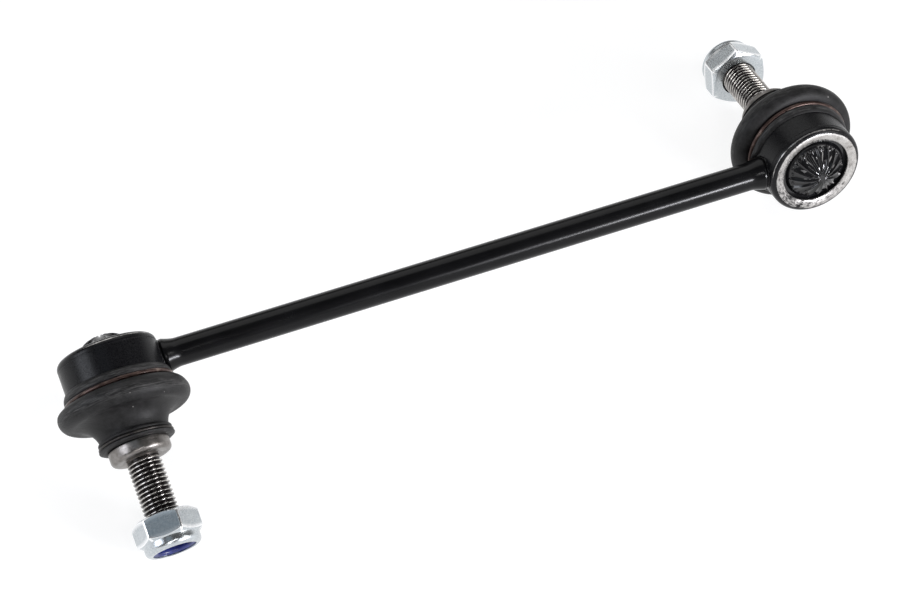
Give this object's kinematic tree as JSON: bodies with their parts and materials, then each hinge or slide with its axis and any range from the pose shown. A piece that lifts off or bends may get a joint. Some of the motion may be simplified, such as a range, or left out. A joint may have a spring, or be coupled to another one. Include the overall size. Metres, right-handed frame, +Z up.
{
  "type": "stabilizer link",
  "caption": "Straight steel rod with a welded ball joint at each end, rubber boots, threaded studs set at an angle to each other and lock nuts, for an anti-roll bar.",
  "frame": {"origin": "on the table under the middle of the link's outline, with the link lying on its two nuts and one boot", "axes": "+X along the rod to the end whose stud points back, +Y to the back, +Z up"},
  "size_m": [0.2528, 0.107, 0.0425],
  "materials": {
    "black_paint": "gloss black coat over steel",
    "cap_plastic": "gloss",
    "bearing_plastic": "matte",
    "boot_rubber": "matte",
    "clamp_wire": "brown coat on spring wire",
    "lip_wire": "dark spring wire",
    "stud_steel": "oiled bare steel",
    "insert_nylon": "matte",
    "nut_zinc": "zinc plated"
  },
  "bodies": {
    "link": {"rod": "black_paint", "left_housing": "black_paint", "left_weld_bead": "black_paint", "left_closing_cap": "cap_plastic", "left_bearing_shell": "bearing_plastic", "left_boot_bead": "boot_rubber", "left_boot_clamp": "clamp_wire", "right_housing": "black_paint", "right_weld_bead": "black_paint", "right_closing_cap": "cap_plastic", "right_bearing_shell": "bearing_plastic", "right_boot_bead": "boot_rubber", "right_boot_clamp": "clamp_wire"},
    "left_boot": {"left_boot": "boot_rubber"},
    "left_tilt": {"left_lip_clamp": "lip_wire"},
    "left_stud": {"left_ball_stud": "stud_steel"},
    "left_insert": {"left_nut_insert": "insert_nylon"},
    "left_nut": {"left_lock_nut": "nut_zinc"},
    "right_boot": {"right_boot": "boot_rubber"},
    "right_tilt": {"right_lip_clamp": "lip_wire"},
    "right_stud": {"right_ball_stud": "stud_steel"},
    "right_insert": {"right_nut_insert": "insert_nylon"},
    "right_nut": {"right_lock_nut": "nut_zinc"}
  },
  "joints": [
    {"name": "left_azimuth", "type": "hinge", "parent": "link", "child": "left_boot", "pos_m": [-0.10736, -0.00151, 0.02725], "axis": [-0.0101, -0.9266, -0.376], "continuous": true},
    {"name": "left_tilt", "type": "hinge", "parent": "left_boot", "child": "left_tilt", "pos_m": [-0.10736, -0.00151, 0.02725], "axis": [0.9996, 0.0012, -0.0298], "range_deg": [-20, 20], "deforming": ["left_boot"]},
    {"name": "left_spin", "type": "hinge", "parent": "left_tilt", "child": "left_stud", "pos_m": [-0.10736, -0.00151, 0.02725], "axis": [-0.0101, -0.9266, -0.376], "continuous": true},
    {"name": "left_nut_travel", "type": "slide", "parent": "left_stud", "child": "left_insert", "axis": [-0.0101, -0.9266, -0.376], "range_m": [-0.01505, 0.01005]},
    {"name": "left_nut_turn", "type": "hinge", "parent": "left_insert", "child": "left_nut", "pos_m": [-0.1078, -0.04163, 0.01097], "axis": [-0.0101, -0.9266, -0.376], "range_deg": [-4320, 2880]},
    {"name": "right_azimuth", "type": "hinge", "parent": "link", "child": "right_boot", "pos_m": [0.10754, -0.00125, 0.02085], "axis": [-0.0078, 0.9747, -0.2232], "continuous": true},
    {"name": "right_tilt", "type": "hinge", "parent": "right_boot", "child": "right_tilt", "pos_m": [0.10754, -0.00125, 0.02085], "axis": [-0.9996, -0.0012, 0.0298], "range_deg": [-20, 20], "deforming": ["right_boot"]},
    {"name": "right_spin", "type": "hinge", "parent": "right_tilt", "child": "right_stud", "pos_m": [0.10754, -0.00125, 0.02085], "axis": [-0.0078, 0.9747, -0.2232], "continuous": true},
    {"name": "right_nut_travel", "type": "slide", "parent": "right_stud", "child": "right_insert", "axis": [-0.0078, 0.9747, -0.2232], "range_m": [-0.01505, 0.01005]},
    {"name": "right_nut_turn", "type": "hinge", "parent": "right_insert", "child": "right_nut", "pos_m": [0.10719, 0.04222, 0.01089], "axis": [-0.0078, 0.9747, -0.2232], "range_deg": [-4320, 2880]}
  ],
  "couplings": [
    {"joint": "left_nut_travel", "follows": "left_nut_turn", "m_per_rad": 0.00019894},
    {"joint": "right_nut_travel", "follows": "right_nut_turn", "m_per_rad": 0.00019894}
  ]
}
